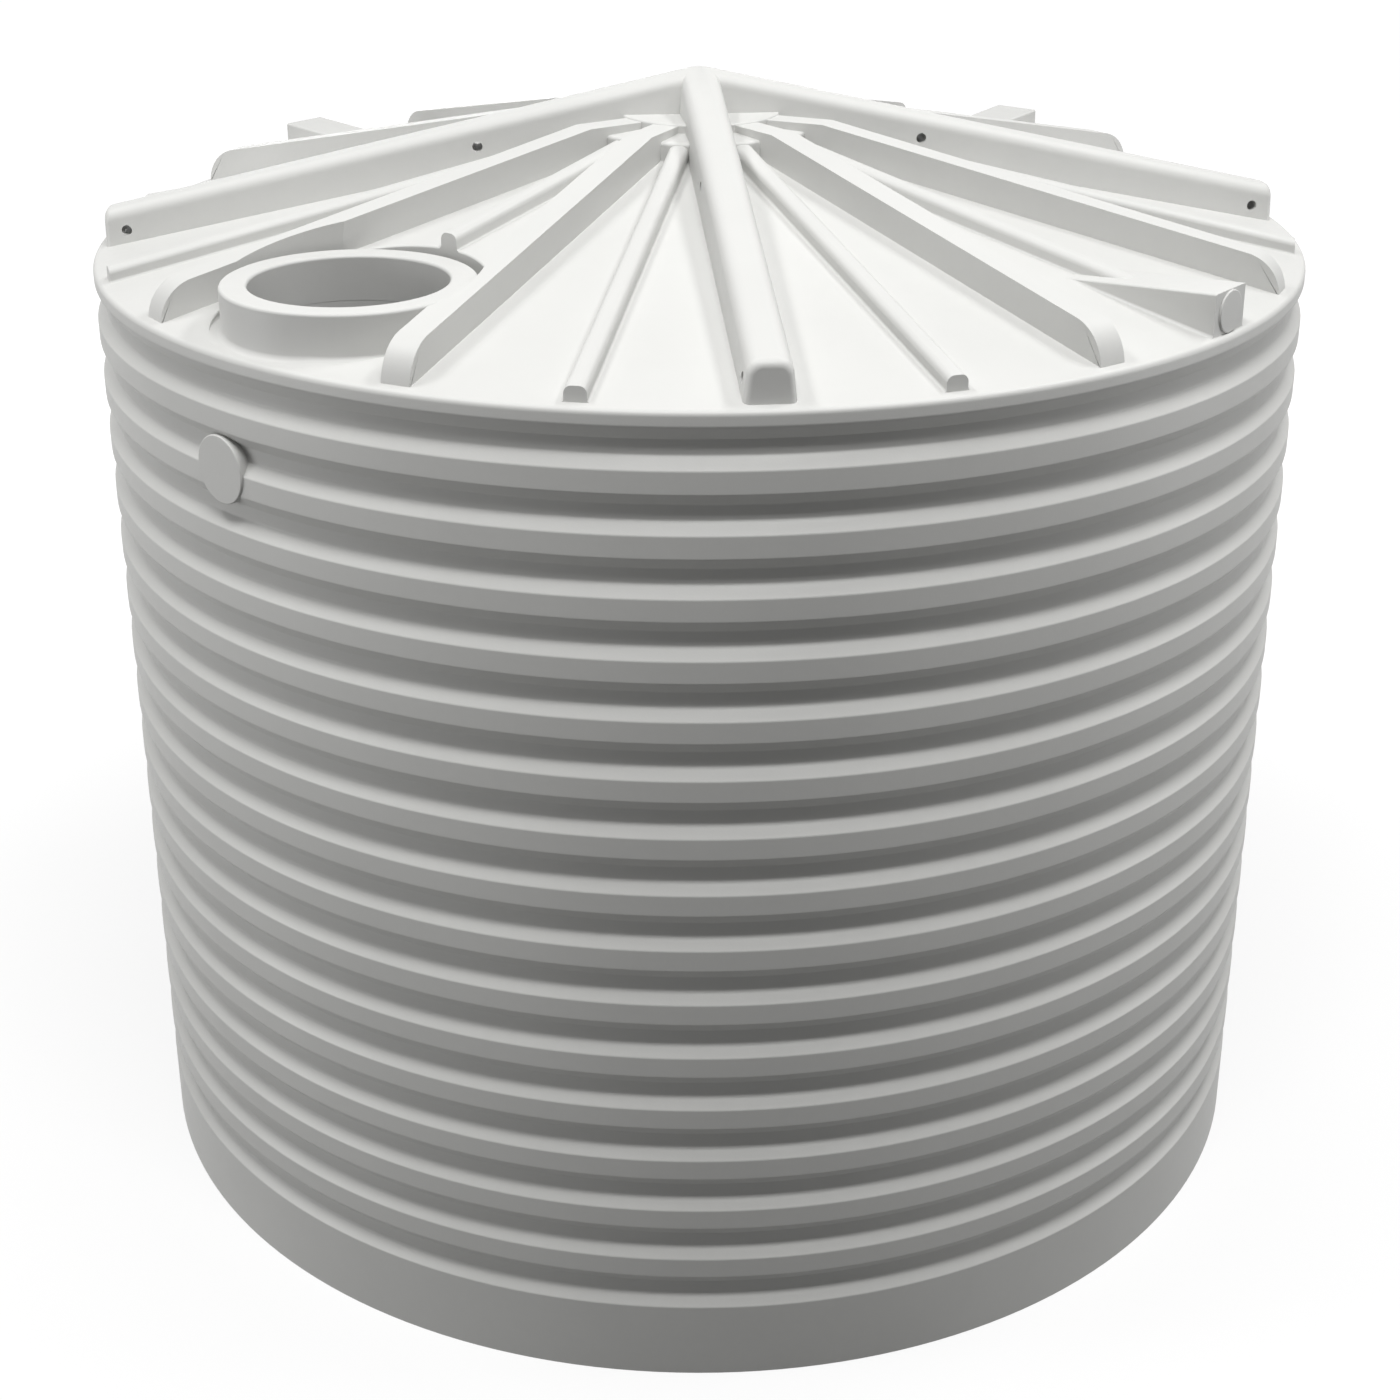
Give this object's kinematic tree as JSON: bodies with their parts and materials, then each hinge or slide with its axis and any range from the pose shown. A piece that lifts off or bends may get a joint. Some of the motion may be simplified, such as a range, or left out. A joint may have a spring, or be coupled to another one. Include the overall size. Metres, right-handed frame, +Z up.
{
  "type": "liquid feed tank",
  "caption": "Round upright plastic tank with a ridged wall and a shallow ribbed cone roof, an open manway, flat outlet boxes and an overflow boss, standing flat on the ground.",
  "frame": {"origin": "on the tank's axis at the ground, centre of the bottom of its box", "axes": "+Z up along the tank's axis; -Y is the front, towards one main rib; the manway lies between -Y and -X"},
  "size_m": [3.6, 3.6, 3.3402],
  "materials": {
    "wall_plastic": "light grey moulded polyethylene, fine orange peel",
    "roof_plastic": "light grey moulded polyethylene, fine orange peel"
  },
  "bodies": {
    "root": {"floor": "wall_plastic", "wall_segment_1": "wall_plastic", "wall_segment_2": "wall_plastic", "wall_segment_3": "wall_plastic", "wall_segment_4": "wall_plastic", "wall_segment_5": "wall_plastic", "wall_segment_6": "wall_plastic", "wall_segment_7": "wall_plastic", "wall_segment_8": "wall_plastic", "roof_panel_1": "roof_plastic", "roof_panel_2": "roof_plastic", "roof_panel_3": "roof_plastic", "roof_panel_4": "roof_plastic", "roof_panel_5": "roof_plastic", "roof_panel_6": "roof_plastic", "roof_panel_7": "roof_plastic", "roof_panel_8": "roof_plastic", "hub_lower_disc": "roof_plastic", "hub_upper_plate": "roof_plastic", "main_rib_front": "roof_plastic", "main_rib_right": "roof_plastic", "main_rib_back": "roof_plastic", "main_rib_left": "roof_plastic", "medium_rib_1": "roof_plastic", "medium_rib_2": "roof_plastic", "medium_rib_3": "roof_plastic", "medium_rib_4": "roof_plastic", "medium_rib_5": "roof_plastic", "medium_rib_6": "roof_plastic", "medium_rib_7": "roof_plastic", "medium_rib_8": "roof_plastic", "small_ribs_1": "roof_plastic", "small_ribs_2": "roof_plastic", "small_ribs_3": "roof_plastic", "small_ribs_4": "roof_plastic", "manway_well": "roof_plastic", "manway_neck": "roof_plastic", "outlet_box_front_right": "roof_plastic", "outlet_box_back_right": "roof_plastic", "outlet_box_back_left": "roof_plastic", "overflow_boss": "wall_plastic"}
  },
  "joints": []
}
